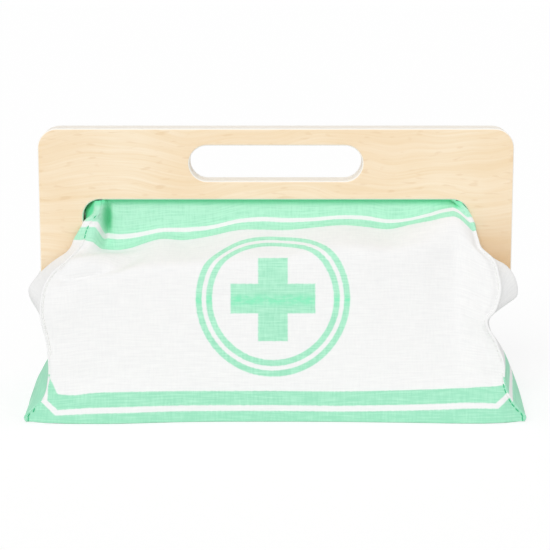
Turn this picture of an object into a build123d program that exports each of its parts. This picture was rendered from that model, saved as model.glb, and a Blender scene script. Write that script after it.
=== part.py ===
from build123d import *
import os

# A toy doctor case: a soft cotton bag hung between two plywood handle plates.
# +X runs to the right, the front faces -Y and +Z is up, with the origin on
# the floor under the middle of the case.  All sizes are in millimetres.

os.makedirs("parts", exist_ok=True)

# ---------------------------------------------------------------- handle plates
plate_width = 280.0           # across both legs
plate_thickness = 9.0         # birch plywood
plates_gap = 0.9              # between the two closed plates
plate_top_height = 165.0      # top edge above the floor
bar_height = 42.0             # top edge down to the opening between the legs
leg_width = 26.0
leg_length = 58.0             # leg below the bar
plate_corner_radius = 11.5    # two upper corners
opening_corner_radius = 10.0  # where each leg meets the bar
leg_end_radius = 7.0
edge_round = 1.1              # eased edges of the outer face
slot_length = 102.0           # hand hole, with half-round ends
slot_height = 21.0
slot_sill = 11.0              # wood left below the hand hole

# ---------------------------------------------------------------- bag cloth
cloth = 1.0                   # turned and sewn canvas
base_overhang = 4.5           # side wall at the floor beyond the plate
base_depth = 110.0            # over the front and rear walls at the floor
soft_clearance = 0.35         # between a soft piece and its neighbour

# Wall of the front panel, seen from the side: it stands up from the floor,
# turns back over the filling and climbs into the plate.
foot_lift = 0.4               # cut edge of the wall above the floor
shoulder_drop = 28.0          # from the underside of the bar down to the shoulder
shoulder_setback = 16.0       # from the foot line in to the shoulder
shelf_rise = 16.0             # shoulder up to the back of the shelf
shoulder_radius = 17.0
shelf_radius = 11.0           # where the wall turns upright below the plate
# The wall is slack at the left and taut at the right: in from the left edge,
# and how much lower the shoulder is there.
shoulder_slack = [(36.0, 0.0), (58.0, 7.0), (100.0, 7.0), (132.0, 2.0), (225.0, -4.0), (253.0, 0.0)]

# Side edge of the front panel.  Drops are from the underside of the bar or
# the end of a leg, insets are from the outer side of the plate or the base.
flare_height = 16.0
flare_inset = 8.0
waist_drop = 15.0
waist_inset = 13.0
bust_rise = 13.0
bust_inset = 9.0
shoulder_inset = 10.0
neck_drop = 16.0
neck_inset = 2.0              # from the inner side of a leg
mouth_inset = 13.0            # from the inner side of a leg

# Side walls: each one is folded inwards at its middle, and the legs of the
# plates hang in the fold.
ear_overhang = 4.0            # outer ridge of the fold beyond the plate
ear_setback = 15.0            # ridge behind the panel's wall
ear_roundness = 3.0           # ridge drawn in where it turns behind
ear_puff = 9.0                # ridge beyond the panel's edge at the waist
ear_taper = 7.0               # ridge drawn in at the shoulder
leg_clearance = 1.2           # cloth to the face of a leg
fold_top_drop = 6.0           # top of the side wall below the bar
fold_gap = 0.35               # from the crease to the mid plane
flare_fold = 0.1              # share of the fold already made at the flare
waist_fold = 0.6              # and at the waist

# ---------------------------------------------------------------- base
board_thickness = 2.5
board_margin = 7.5            # edge of the board in from the cloth's edge
board_corner_radius = 6.0
base_tuck = 0.8               # bottom cloth in from the side wall
seam_allowance = 5.0          # turned edges sewn along the base
seam_thickness = 1.4
side_seam_width = 2.2         # rolled seam down each upright edge

# ---------------------------------------------------------------- clamp at the mouth
rebate_land = 2.0             # full wood between the rebate and the hand hole
rebate_clearance = 0.2
batten_thickness = 1.8
batten_end_inset = 4.0        # batten shorter than the mouth at each end
batten_screw_count = 5
batten_screw_edge = 13.0      # outer screw in from the end of the batten
screw_shank = 2.0
screw_head = 4.2
screw_head_height = 0.8
screw_head_recess = 1.0
screw_skin = 1.4              # wood left in front of a pilot hole
screw_clearance = 0.2

cut_margin = 1.0              # how far a cutting block runs past what it cuts
touch = 0.01                  # two places nearer than this are the same
wall_runs = 4                 # straight runs from the seam to the crease

# ---------------------------------------------------------------- worked out
bar_bottom = plate_top_height - bar_height
leg_end_height = bar_bottom - leg_length
inner_half_width = plate_width / 2 - leg_width
plate_inner_y = plates_gap / 2
plate_outer_y = plate_inner_y + plate_thickness
slot_centre_height = bar_bottom + slot_sill + slot_height / 2

mouth_half_width = inner_half_width - mouth_inset
rebate_height = slot_sill - rebate_land
rebate_y = plate_inner_y + 2 * cloth + batten_thickness + rebate_clearance
hem_y = rebate_y - cloth
batten_y = hem_y - cloth
batten_face_y = batten_y - batten_thickness
batten_height = rebate_height - 2 * rebate_clearance
clamp_top = bar_bottom + rebate_height - rebate_clearance
screw_height = bar_bottom + rebate_height / 2
screw_hole = screw_shank + screw_clearance
pilot_end_y = plate_outer_y - screw_skin

base_width = plate_width + 2 * base_overhang    # over the side walls at the floor
foot_y = base_depth / 2
shoulder_height = bar_bottom - shoulder_drop
shelf_height = shoulder_height + shelf_rise
neck_y = rebate_y - cloth / 2
seam_pitch = cloth + side_seam_width + 2 * soft_clearance
waist_height = leg_end_height - waist_drop
waist_half_width = plate_width / 2 - waist_inset
bust_height = leg_end_height + bust_rise
neck_height = bar_bottom - neck_drop
neck_half_width = inner_half_width - neck_inset
ear_half_width = plate_width / 2 + ear_overhang
base_half_x = base_width / 2 - cloth - soft_clearance - base_tuck
base_half_y = foot_y - (cloth + side_seam_width) / 2 - soft_clearance


# ---------------------------------------------------------------- helpers
def save(node, solid):
    """Write one named piece."""
    solid.label = node
    export_step(solid, f"parts/{node}.step")


def rear_of(solid):
    """The rear twin of a front piece."""
    return mirror(solid, about=Plane.XZ)


def left_of(solid):
    """The left twin of a right-hand piece."""
    return mirror(solid, about=Plane.YZ)


def save_front_and_rear(name, solid):
    save(f"front_{name}", solid)
    save(f"rear_{name}", rear_of(solid))


def save_four(name, solid):
    """A front right piece and its three twins."""
    save(f"front_right_{name}", solid)
    save(f"front_left_{name}", left_of(solid))
    save(f"rear_right_{name}", rear_of(solid))
    save(f"rear_left_{name}", rear_of(left_of(solid)))


def box_between(x0, x1, y0, y1, z0, z1):
    """A block given by its lowest and highest corners."""
    block = Box(x1 - x0, y1 - y0, z1 - z0, align=(Align.MIN, Align.MIN, Align.MIN))
    return Pos(x0, y0, z0) * block


def without(solid, cutters):
    """The solid with each cutter taken out of it."""
    for cutter in cutters:
        solid -= cutter
    return solid


def between(stations, height):
    """A value read off a list of (value, height), in straight runs."""
    for (low, z0), (high, z1) in zip(stations, stations[1:]):
        if height <= z1:
            return low + (high - low) * (height - z0) / (z1 - z0)
    return stations[-1][0]


def offset_line(points, distance):
    """A line of straight runs moved sideways, to its left where distance is positive."""
    spots = [Vector(*point) for point in points]
    ways = [(b - a).normalized() for a, b in zip(spots, spots[1:])]
    lefts = [Vector(-way.Y, way.X) for way in ways]
    moved = [spots[0] + lefts[0] * distance]
    for spot, before, after in zip(spots[1:-1], lefts, lefts[1:]):
        corner = before + after
        moved.append(spot + corner * (2 * distance / corner.length**2))
    moved.append(spots[-1] + lefts[-1] * distance)
    return [(spot.X, spot.Y) for spot in moved]


def turns(points):
    """For each inner corner of a line, 1 where it turns left and -1 where it turns right."""
    spots = [Vector(*point) for point in points]
    ways = [b - a for a, b in zip(spots, spots[1:])]
    return [1 if a.cross(b).Z > 0 else -1 for a, b in zip(ways, ways[1:])]


def sheet_section(points, radii):
    """Section through a sheet of cloth whose middle line turns in arcs."""
    sides = []
    for distance in (cloth / 2, -cloth / 2):
        bends = [radius - turn * distance for radius, turn in zip(radii, turns(points))]
        sides.append(FilletPolyline(*offset_line(points, distance), radius=bends))
    left, right = sides
    ends = [Line(left @ 0, right @ 0), Line(left @ 1, right @ 1)]
    return make_face([*left.edges(), *right.edges(), *ends])


# ---------------------------------------------------------------- handle plates
def screw_bores(diameter, y_outer, y_inner):
    """Round bores through the front clamp, one for each screw."""
    bore = Rot(X=90) * Cylinder(diameter / 2, y_outer - y_inner)
    return [Pos(x, -(y_outer + y_inner) / 2, screw_height) * bore for x in screw_places()]


def screw_places():
    """Centres of the batten screws across the mouth."""
    reach = mouth_half_width - batten_end_inset - batten_screw_edge
    pitch = 2 * reach / (batten_screw_count - 1)
    return [-reach + i * pitch for i in range(batten_screw_count)]


def plate_outline():
    """Face of a plate: a bar with a hand hole and a leg at each end."""
    height = plate_top_height - leg_end_height
    blank = Pos(0, leg_end_height + height / 2) * Rectangle(plate_width, height)
    window = Pos(0, leg_end_height) * Rectangle(2 * inner_half_width, 2 * leg_length)
    outline = blank - window
    at_top = outline.vertices().filter_by(lambda v: v.Y > plate_top_height - touch)
    outline = fillet(at_top, plate_corner_radius)
    at_bar = outline.vertices().filter_by(lambda v: abs(v.Y - bar_bottom) < touch)
    outline = fillet(at_bar, opening_corner_radius)
    at_ends = outline.vertices().filter_by(lambda v: v.Y < leg_end_height + touch)
    outline = fillet(at_ends, leg_end_radius)
    return outline - Pos(0, slot_centre_height) * SlotOverall(slot_length, slot_height)


def handle_plate():
    """Front plate, with its outer edges eased and a rebate for the clamp."""
    face = Plane.XZ.offset(plate_inner_y) * plate_outline()
    plate = extrude(face, amount=plate_thickness, dir=(0, -1, 0))
    outer = plate.edges().filter_by(lambda e: abs(e.center().Y + plate_outer_y) < touch)
    plate = fillet(outer, edge_round)
    rebate_half = mouth_half_width + rebate_clearance
    plate -= box_between(
        -rebate_half, rebate_half,
        -rebate_y, -plate_inner_y + cut_margin,
        bar_bottom - cut_margin, bar_bottom + rebate_height,
    )
    return without(plate, screw_bores(screw_hole, pilot_end_y, rebate_y - cut_margin))


# ---------------------------------------------------------------- panels
def wall_profile(slack=0.0):
    """Middle line of the front wall, as (distance from the mid plane, height)."""
    lean = shoulder_setback / (shoulder_height - foot_lift)
    return [
        (foot_y - cloth / 2, foot_lift),
        (foot_y - cloth / 2 - shoulder_setback + lean * slack, shoulder_height - slack),
        (neck_y, shelf_height),
        (neck_y, clamp_top),
    ]


def side_edge():
    """Right side edge of the front panel, as (half width, height)."""
    return [
        (base_width / 2 - seam_pitch, foot_lift),
        (base_width / 2 - flare_inset, flare_height),
        (waist_half_width, waist_height),
        (plate_width / 2 - bust_inset, bust_height),
        (plate_width / 2 - shoulder_inset, shoulder_height),
        (neck_half_width, neck_height),
        (mouth_half_width, bar_bottom),
    ]


def slack_section(distance, slack):
    """Section through the front wall, at a distance from its left edge."""
    points = [(-y, z) for y, z in wall_profile(slack)]
    section = sheet_section(points, [shoulder_radius, shelf_radius])
    return Pos(distance - base_width / 2, 0, 0) * (Plane.YZ * section)


def panel():
    """Front panel: one curved sheet from the foot to the clamp."""
    stations = [(0, 0), *shoulder_slack, (base_width, 0)]
    sheet = loft([slack_section(*station) for station in stations], ruled=True)
    (foot, lowest), *rest = side_edge()
    right = [(foot, lowest - cut_margin), *rest, (mouth_half_width, clamp_top + cut_margin)]
    left = [(-x, z) for x, z in reversed(right)]
    outline = Plane.XZ * make_face(Polyline(*right, *left, close=True))
    sheet = sheet & extrude(outline, amount=base_depth, dir=(0, -1, 0))
    return without(sheet, screw_bores(screw_hole, rebate_y + cut_margin, batten_y))


# ---------------------------------------------------------------- side walls
def flat_plan(height, half_width):
    """Plan of a wall that stands flat, from the seam to the crease."""
    reach = between(wall_profile(), height)
    run = (reach - fold_gap) / wall_runs
    rest = [(half_width, -reach + run * i) for i in range(1, wall_runs + 1)]
    return [(between(side_edge(), height) + seam_pitch, -reach), *rest]


def folded_plan(height, half_width):
    """Plan of a wall that folds round the front of a leg and in beside it."""
    reach = between(wall_profile(), height)
    leg_face = plate_outer_y + leg_clearance
    leg_side = inner_half_width - leg_clearance
    ridge_y = max(reach - ear_setback, leg_face + cloth)
    return [
        (between(side_edge(), height) + seam_pitch, -reach),
        (half_width, -ridge_y),
        (half_width - ear_roundness, -leg_face),
        (leg_side, -leg_face),
        (leg_side, -fold_gap),
    ]


def wall_section(height, half_width, fold):
    """Level section of a side wall: flat where fold is 0, fully folded where it is 1."""
    pairs = zip(flat_plan(height, half_width), folded_plan(height, half_width))
    line = [(a + (c - a) * fold, b + (d - b) * fold) for (a, b), (c, d) in pairs]
    inside = offset_line(line, cloth)
    return Plane.XY.offset(height) * make_face(Polyline(*line, *reversed(inside), close=True))


def gusset():
    """Front right half of a side wall, through its level sections."""
    stations = [
        (foot_lift, base_width / 2, 0.0),
        (flare_height, base_width / 2 - flare_inset + seam_pitch, flare_fold),
        (waist_height, waist_half_width + ear_puff, waist_fold),
        (leg_end_height - leg_clearance - cloth, ear_half_width - cloth, 1.0),
        (bust_height, ear_half_width, 1.0),
        (shoulder_height, ear_half_width - ear_taper, 1.0),
        (neck_height, neck_half_width + seam_pitch, 1.0),
        (bar_bottom - fold_top_drop, inner_half_width - seam_pitch, 0.0),
    ]
    return loft([wall_section(*station) for station in stations], ruled=True)


def side_seam():
    """Rolled seam up the front right edge, between the panel and the side wall."""
    roll = Rectangle(side_seam_width, side_seam_width)
    outset = soft_clearance + side_seam_width / 2
    path = [(x + outset, -between(wall_profile(), z), z) for x, z in side_edge()[:-1]]
    return loft([Pos(*place) * roll for place in path], ruled=True)


# ---------------------------------------------------------------- clamp at the mouth
def mouth_strip(y_outer, thickness, end_inset):
    """A strip across the mouth, bored for the screws."""
    half = mouth_half_width - end_inset
    low = clamp_top - batten_height
    strip = box_between(-half, half, -y_outer, -y_outer + thickness, low, clamp_top)
    return without(strip, screw_bores(screw_hole, y_outer + cut_margin, y_outer - thickness - cut_margin))


def batten():
    """Hardwood batten that presses the mouth of the panel into its plate."""
    strip = mouth_strip(batten_y, batten_thickness, batten_end_inset)
    recess_y = batten_face_y + screw_head_recess
    return without(strip, screw_bores(screw_head + screw_clearance, recess_y, batten_face_y - cut_margin))


def batten_screws():
    """Flat-headed screws through the batten and the cloth into the plate."""
    seat = batten_face_y + screw_head_recess
    tip = pilot_end_y - screw_clearance
    shank = Rot(X=90) * Cylinder(screw_shank / 2, tip - seat)
    head = Rot(X=90) * Cylinder(screw_head / 2, screw_head_height)
    screw = Pos(0, -(tip + seat) / 2, screw_height) * shank
    screw += Pos(0, -seat + screw_head_height / 2, screw_height) * head
    return Compound(children=[Pos(x, 0, 0) * screw for x in screw_places()])


# ---------------------------------------------------------------- base
def base_seams():
    """Turned edges sewn flat around the base board: the front one and the right one."""
    high = cloth + seam_thickness
    inner_y = base_half_y - seam_allowance
    side_y = inner_y - soft_clearance
    front = box_between(-base_half_x, base_half_x, -base_half_y, -inner_y, cloth, high)
    right = box_between(base_half_x - seam_allowance, base_half_x, -side_y, side_y, cloth, high)
    return front, right


def bottom_panel():
    """Canvas bottom of the bag."""
    return box_between(-base_half_x, base_half_x, -base_half_y, base_half_y, 0, cloth)


def base_board():
    """Stiff board that keeps the bottom flat."""
    length = base_width - 2 * board_margin
    depth = base_depth - 2 * board_margin
    outline = RectangleRounded(length, depth, board_corner_radius)
    return Pos(0, 0, cloth) * extrude(outline, amount=board_thickness)


save_front_and_rear("handle_plate", handle_plate())
save_front_and_rear("panel", panel())
save_front_and_rear("hem", mouth_strip(hem_y, cloth, 0))
save_front_and_rear("batten", batten())
save_front_and_rear("batten_screws", batten_screws())
save_four("gusset", gusset())
save_four("side_seam", side_seam())
front_base_seam, right_base_seam = base_seams()
save_front_and_rear("base_seam", front_base_seam)
save("right_base_seam", right_base_seam)
save("left_base_seam", left_of(right_base_seam))
save("bottom_panel", bottom_panel())
save("base_board", base_board())
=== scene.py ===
"""A toy doctor case: a printed cotton bag clamped between two birch plywood handle plates.

Laid out as a Blender add-on. Each operator makes one piece, or a group of like pieces, around
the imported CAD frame. Sizes in tables are millimetres; meshes are metres, in the frame's own axes.
"""

import math

import bpy
import numpy as np
from bpy.props import FloatProperty, FloatVectorProperty, PointerProperty
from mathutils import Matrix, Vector


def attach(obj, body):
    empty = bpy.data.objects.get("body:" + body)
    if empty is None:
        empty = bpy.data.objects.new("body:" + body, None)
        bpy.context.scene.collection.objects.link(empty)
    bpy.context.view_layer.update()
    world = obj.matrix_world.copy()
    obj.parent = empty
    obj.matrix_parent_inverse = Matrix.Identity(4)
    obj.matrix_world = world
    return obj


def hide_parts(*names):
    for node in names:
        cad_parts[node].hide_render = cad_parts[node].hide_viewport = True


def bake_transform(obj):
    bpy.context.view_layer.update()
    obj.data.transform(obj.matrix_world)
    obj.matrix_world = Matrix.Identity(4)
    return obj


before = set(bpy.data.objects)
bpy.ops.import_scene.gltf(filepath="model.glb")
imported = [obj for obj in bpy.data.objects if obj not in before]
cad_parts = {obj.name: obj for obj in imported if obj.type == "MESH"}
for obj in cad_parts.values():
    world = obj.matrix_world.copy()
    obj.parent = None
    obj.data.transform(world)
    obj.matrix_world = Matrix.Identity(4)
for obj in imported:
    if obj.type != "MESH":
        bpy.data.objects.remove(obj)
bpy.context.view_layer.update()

bl_info = {
    "name": "Toy doctor case",
    "version": (1, 0, 0),
    "blender": (4, 5, 0),
    "location": "3D View > Sidebar > Doctor case",
    "description": "Dresses the packed frame of a toy doctor case",
    "category": "Object",
}

MM = 0.001

# ------------------------------------------------------------------ the cloth's shape
# The rear wall is the front wall mirrored. Cloth places are (u, s): u across the case from its
# middle, s up the cloth from its foot on the floor. The front wall lies at negative Y.
FOOT = (-55.0, 0.4)            # Y and Z of the wall's foot
LEDGE_START = 122.0            # s at the front of the ledge below the bar
STRIPE_TOP = 130.2             # s at its back, where the wall turns up to the bar
BAR_IN = (-4.1, 122.4)         # Y and Z where the cloth passes the underside of the bar
CLAMP_TOP = (-3.95, 131.6)     # Y and Z of its upper edge, under the batten
CLAMP_REACH = 9.2              # cloth between the two
MIDDLE = (-98, 104)            # X of the middle part's ends; beyond them the wall turns to its seams
PINCH = 0.045                  # the middle part is this much narrower where it is clamped

# Middle of the wall, column by column: X, s of the shoulder, lean in degrees, slope of the ledge
# in degrees, height and distance of the ledge at its back
COLUMNS = [
    (-98, 88, 10, 52, 99.3, -5.6), (-92, 88, 10, 50, 99.1, -6), (-86, 88, 10, 42, 99.5, -6),
    (-78, 88.5, 10, 24, 100.5, -6), (-69, 89, 10, 15, 102.2, -6), (-53, 90, 10, 27, 102.9, -6),
    (-40, 91, 10, 18, 104, -6), (-20, 92, 10, 21, 108.5, -6), (-8, 92.5, 10, 32, 109.6, -6),
    (5, 93, 10.5, 30, 109.1, -6), (21, 97, 11, 18, 109.3, -6), (40, 99, 11, 17, 110.8, -6),
    (54, 99, 11, 26, 110.5, -6), (66, 98, 12, 20, 108.5, -6), (79, 100, 13, 0, 109, -6.5),
    (87, 102, 14, 6, 111.2, -7.5), (92, 104, 15, 14, 112.9, -8.5), (98, 105, 16, 20, 115.2, -9.6),
    (104, 106, 17, 24, 116.6, -10.6),
]

# Side seams: s, X, Y, Z. Past SEAM_TOP the line is the panel's free edge, up to the clamp.
SEAM_TOP = 142.8
LEFT_SEAM = [
    (0, -143.8, -56, 0.45), (3.4, -145, -55.4, 2.8), (9, -140.4, -53.8, 7.6), (16.6, -133.8, -52, 13.9),
    (26, -131.3, -50.5, 23.2), (37.5, -131.1, -49, 34.5), (48, -132.3, -46, 44.5),
    (66.8, -136, -43, 62.9), (73.2, -135.6, -41, 69), (80.5, -134.3, -38, 75.5),
    (89.3, -130.5, -34, 82.4), (101.5, -122.7, -28, 89), (116.5, -114.2, -20, 97.8),
    (129.8, -110.9, -12.8, 107.8), (133.5, -108.5, -12.2, 111.6), (136.5, -105, -11.4, 115),
    (142.8, -102.8, -8.4, 122.2), (150, -102.4, -4.6, 124), (162, -100.5, -3.95, 131.6),
]
RIGHT_SEAM = [
    (0, 143.2, -55.4, 0.5), (3.2, 144.2, -54.8, 2.8), (10, 138.9, -53.2, 8.6), (19.5, 133.9, -52, 16.9),
    (26.7, 132.1, -50.5, 23.7), (35.4, 131.7, -49.5, 32.3), (48.8, 127.2, -47, 44.7),
    (63.5, 121.6, -45, 57.9), (71.7, 126.4, -43, 63.6), (77.9, 128.6, -41, 69),
    (83.9, 129.8, -39, 74.5), (93, 128.9, -35, 82.6), (102.8, 126.3, -30, 90.6),
    (111.5, 119.7, -24.5, 96.6), (118.8, 118.2, -19.5, 101.4), (130, 115.4, -14, 111),
    (136.5, 111.8, -11, 117), (142.8, 105.4, -8.2, 122.1), (150, 103, -4.6, 124),
    (162, 100.5, -3.95, 131.6),
]

# Side walls, one half each, from the seam round to the crease at the middle plane. The ridge is
# the outer fold that hangs over a plate's leg, the turn is where it passes the leg's inner side.
LEFT_RIDGE = [
    (0, -144.7, -36, 6.6), (8, -140.8, -33, 14.7), (15.5, -136.6, -31, 22.2),
    (24, -134, -30, 30), (33, -132, -30, 37), (46, -129.2, -27, 46),
    (55, -132.5, -22, 53.6), (60, -138, -20.5, 58.3), (66, -144, -21, 64.5),
    (71, -146, -22, 71), (79, -142, -18.5, 78), (86, -136.5, -15, 83.2),
    (95, -129.8, -13.2, 88.3), (102, -124.6, -12.8, 91.6), (110, -121.6, -12.5, 95),
    (122, -119.2, -12.3, 100.6), (130, -114.8, -12.2, 107.6), (133, -112.9, -12, 110.8),
    (135, -109.2, -11.8, 113), (136.6, -106.2, -11.4, 115), (138.6, -105.6, -10.8, 117.6),
    (140.6, -106.4, -9.8, 119.9), (142.8, -106.6, -8.6, 122),
]
LEFT_TURN = [
    (0, -144.5, -18, 9.6), (8, -142, -16, 17), (18, -136.5, -16, 26),
    (33, -128, -15, 37), (46, -118.5, -13.5, 47),
    (55, -113.8, -12, 55.5), (62, -112.6, -11.2, 62), (75, -112.3, -10.9, 74),
    (90, -112.3, -10.9, 85), (110, -112.3, -10.9, 96), (124, -112.4, -9.8, 104.6),
    (130, -112.6, -5.6, 108), (134, -112.7, -3.6, 110.8), (138, -112.2, -3.2, 115.8),
    (142.8, -107.8, -3, 122.1),
]
RIGHT_RIDGE = [
    (0, 144.7, -36, 6), (8, 143, -31, 13.4), (15, 141.2, -30, 19.8), (24, 138.2, -30, 28.4),
    (31, 135.2, -30, 35), (40, 130.4, -29.5, 42.8), (47, 125.9, -29, 48.7),
    (54, 123.8, -27, 55), (58.5, 125.6, -27.5, 61.4), (62, 131.8, -27.5, 65),
    (65, 137.9, -27.3, 66.8), (68.5, 141.6, -27, 68.6), (73, 142.4, -26, 72), (80, 140.8, -24, 79.4),
    (87, 136.4, -20, 85.2), (94, 130.2, -17, 88.4), (100, 125.4, -13.6, 90.8),
    (106, 120.4, -13.6, 95), (113, 118.8, -13.5, 99.6), (122, 118, -13.4, 105.3),
    (130, 117.2, -12.8, 110.4), (134, 115.2, -12, 114.4), (138, 112.7, -10.9, 117.8),
    (142.8, 109.2, -8.7, 121.6),
]
RIGHT_TURN = [
    (0, 144.5, -18, 10), (8, 142, -16, 17), (18, 137, -16, 26),
    (33, 128, -15, 38), (46, 118.5, -13.5, 47.5),
    (55, 113.8, -12, 55.5), (62, 112.6, -11.2, 62), (75, 112.3, -10.9, 74),
    (90, 112.3, -10.9, 85), (110, 112.3, -10.9, 97), (125, 112.2, -10.6, 108),
    (134, 112.6, -7.5, 113.4), (138, 111, -6, 117), (142.8, 107.4, -4, 122.3),
]
# Both halves of a side wall meet in this crease: s, half width, height
CREASE = [
    (0, 144.4, 11), (8, 141, 18), (18, 134.5, 26), (33, 124, 38),
    (46, 113.5, 49), (60, 107, 62), (80, 106, 79), (100, 106, 90), (122, 107, 104),
    (130, 110.5, 109.4), (134, 113, 112.6), (138, 113, 118), (142.8, 108.8, 122.5),
]
SPLIT_S = 58.0                 # the side wall is two pieces, above and below this line
# How softly a side wall turns at its folds: s, mm of cloth
SIDE_SOFTNESS = [(0, 9), (20, 9), (40, 7), (56, 3.5), (75, 3.0), (100, 2.2), (143, 1.6)]
REAR_TUCK = 0.018              # the rear side walls bulge this much less, low down
SIGN = {"left": -1, "right": 1}
LINES = {"left": (LEFT_SEAM, LEFT_RIDGE, LEFT_TURN), "right": (RIGHT_SEAM, RIGHT_RIDGE, RIGHT_TURN)}

# The bottom cloth
BASE_Z, BASE_TURN = 0.45, 136.8   # its height, and half the width of its flat part
BASE_EDGE = 54.3               # half its depth, where the wall's foot has no wave
EDGE_INSET = 0.3               # its edge stays this far inside the wall's foot
WAVE_INSIDE = 46.0             # nearer the middle than this it doesn't follow the foot's waves
BASE_S = 200.0                 # it is plain: its cloth places lie beyond the print's border
BASE_SEAM = (4.6, 1.3)         # width and thickness of its turned seam allowance
BASE_SEAM_X, BASE_SEAM_Y = 136, 50.6   # half length and distance of the front and rear allowances
BASE_SEAM_LIFT = 1.15          # their height above the bottom cloth

# Soft folds in the walls. Each is a line of (u, s, reach to each side, height above the plain
# surface), and a negative height is a hollow
FOLDS = [
    [(-126, 100, 5, 2.4), (-114, 100, 6, 4.0), (-103, 102, 6, 4.0), (-92, 108, 6, 2.4), (-84, 115, 5, 0.0)],
    [(-132, 92, 2.6, -1.2), (-122.6, 86.6, 2.8, -3.2), (-109.4, 86.4, 3.0, -3.6),
     (-101.5, 88, 3.2, -3.2), (-92.3, 91.7, 3.4, -2.5), (-84, 103, 4, -1.4), (-78, 112, 4, 0.0)],
    [(88, 133, 1.4, 0.0), (94, 134.5, 1.4, -1.2), (102, 135.5, 1.6, -2.2), (106, 137, 1.6, -1.5)],
    [(-52, 71.6, 1.5, 0.0), (-26, 72.4, 1.5, -0.4), (18, 72.0, 1.5, -0.4), (50, 71.4, 1.5, 0.0)],
    [(124, 10, 2.5, 0.0), (126, 24, 3.0, -1.6), (123.5, 42, 3.2, -2.1), (120, 58, 3.2, -1.5),
     (119, 72, 3.0, 0.0)],
]
# Rolls by the upper left corner, straight forward or back: X, Z, reach across, reach up, distance
CORNER_ROLLS = [(-103.8, 113, 1.8, 8, 3.8), (-100.0, 111, 2.0, 11, -5.2)]
# The foot of the wall waves a little forward: X, distance, reach
FOOT_WAVES = [(-100, 5.0, 26), (76, 1.8, 26), (114, 3.4, 20)]
# The wall dips beside its seams: how much, how far inside its edge, reach
SEAM_DIP, DIP_INSIDE, DIP_REACH = 0.7, 2.4, 1.2

# The side seams are small rolls with a row of stitches: s, thickness of the roll
SEAM_ROLLS = {
    "left": [(0, 1.2), (40, 1.2), (60, 1.5), (100, 1.5), (130, 1.2)],
    "right": [(0, 1.2), (34, 1.3), (52, 2.0), (100, 2.0), (122, 1.4), (130, 1.2)],
}
ROLL_TOP, ROLL_FLOOR = 136.0, 0.7   # s at the roll's end, and its least height
# stitches lie nearly end to end, so that the row reads as one painted shade line along the seam
STITCH_LENGTH, STITCH_WIDTH, STITCH_STEP = 2.7, 0.7, 3.1
STITCH_START, STITCH_U = 1.8, 134.5   # s of the first stitch; u of the print they take, darkened as painted seam shade
# The stretches of s where stitches are made, a darker line that is painted seam shade; elsewhere there are
# none
STITCHED = {"left": ((0, 9.5), (40, ROLL_TOP)), "right": ((0, 31), (37, 108))}

# The hem under the batten: half length, Y and Z, width and thickness, s of its plain print
HEM_END, HEM_PLACE, HEM_FOLD, HEM_S = 100.6, (-2.95, 127.45), (8.3, 0.9), 160

# The print, in mm on the cloth: a green border with a white stripe, a white field, a green band
# with a white stripe at the head, and an emblem of a plain cross in two rings
BORDER_MIDDLE, BORDER_CUT = 0.6, 130.4   # u of its middle, and |u| - s where the corners are cut off
STRIPE = (6.5, 9.8)            # the white stripe, from the print's edge
LEFT_STRIPE_U = -132.1         # its inner side where it runs on up beside the left seam
LEFT_LEAST = 8.0               # no place beyond it there counts as nearer to the edge than this
FIELD_EDGE = 18.0              # where the white field starts, from the print's edge
FIELD_MIDDLE, FIELD_LEVEL, FIELD_RISE = -3.0, 113.0, 0.17   # its lower edge rises past the level part
CORNER_MIDDLE, CORNER_REACH, CORNER_ACROSS, CORNER_UP = 4.2, 123.2, 0.88, 0.475   # its cut corners
HEAD_BAND = (LEDGE_START, STRIPE_TOP, 133.5)   # s where its ink starts, stops and starts again
EMBLEM_U, EMBLEM_S = -1.7, 70.9   # middle of the emblem
RINGS = (35.3, 38.75, 41.25, 44.7)   # radii where the ink of its two rings starts and stops
CROSS_HALF_WIDTH, CROSS_REACH = 8.55, 24.5   # half width of an arm, and its end from the middle
PRESSED_S = 70.0               # the wall's crease across the emblem
SOFT_EDGE = 0.35               # half width of the edges of the ink
# The print lies a little out of square on the wall: u, how far it slips down near the foot, at
# the lower edge of the upper border and near the bar
PRINT_SLIP = [
    (-136, 1.5, 2.0, 0.8), (-116, 1.2, 1.6, 0.8), (-106, 1.0, 2.1, 0.8), (-98, 0.9, 2.1, 0.7),
    (-90, 0.8, 1.3, 0.7), (-82, 0.7, 0.9, 0.7), (-60, 0.5, 0.5, 0.7), (-30, 0.5, 0, 1.0),
    (0, 0.5, 0, 1.2), (40, 0.7, 0, 1.6), (60, 0.3, 0, 1.7), (78, -0.2, -0.5, 1.7),
    (92, -0.7, -1.6, 1.7), (104, -1.3, -2, 1.5), (120, -2.2, -2, 1.2), (136, -2.8, -2, 1.2),
]
# The border on the side walls and the seams' rolls: s of its stripe at the seam, rise per mm away
# from the seam, s where it runs nearly level, height of its stripe, height of its inner band
SIDE_PRINT = {
    "left": (14.6, 2.0, 25.4, 8, 10), "left_roll": (15.0, 0, 15.0, 14, 0.01),
    "right": (13.0, 0.33, 19.6, 5.2, 10), "right_roll": (13.4, 0, 13.4, 5.2, 10),
}
LEVEL_RISE = 0.1               # rise per mm of that nearly level part
PRINT_MARGIN, FIELD_INSIDE = 20.0, 40.0   # how far the border is followed, and s well inside the field
SEAM_U = 136.0                 # u of the front wall's print at its seams
SIDE_U = 62.0                  # u of the side walls' print at the seam, clear of emblem and corners
RUN_OUT = 30.0                 # straight cloth added past a path's ends while it is softened


def ease(value, start, end):
    """0 up to the start and 1 from the end on, flat at both ends."""
    t = np.clip((value - start) / (end - start), 0, 1)
    return t * t * (3 - 2 * t)


def bell(t):
    """1 at 0, and fading out to both sides: 0.6 at 1, 0.01 at 3."""
    return np.exp(-0.5 * t ** 2)


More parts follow.
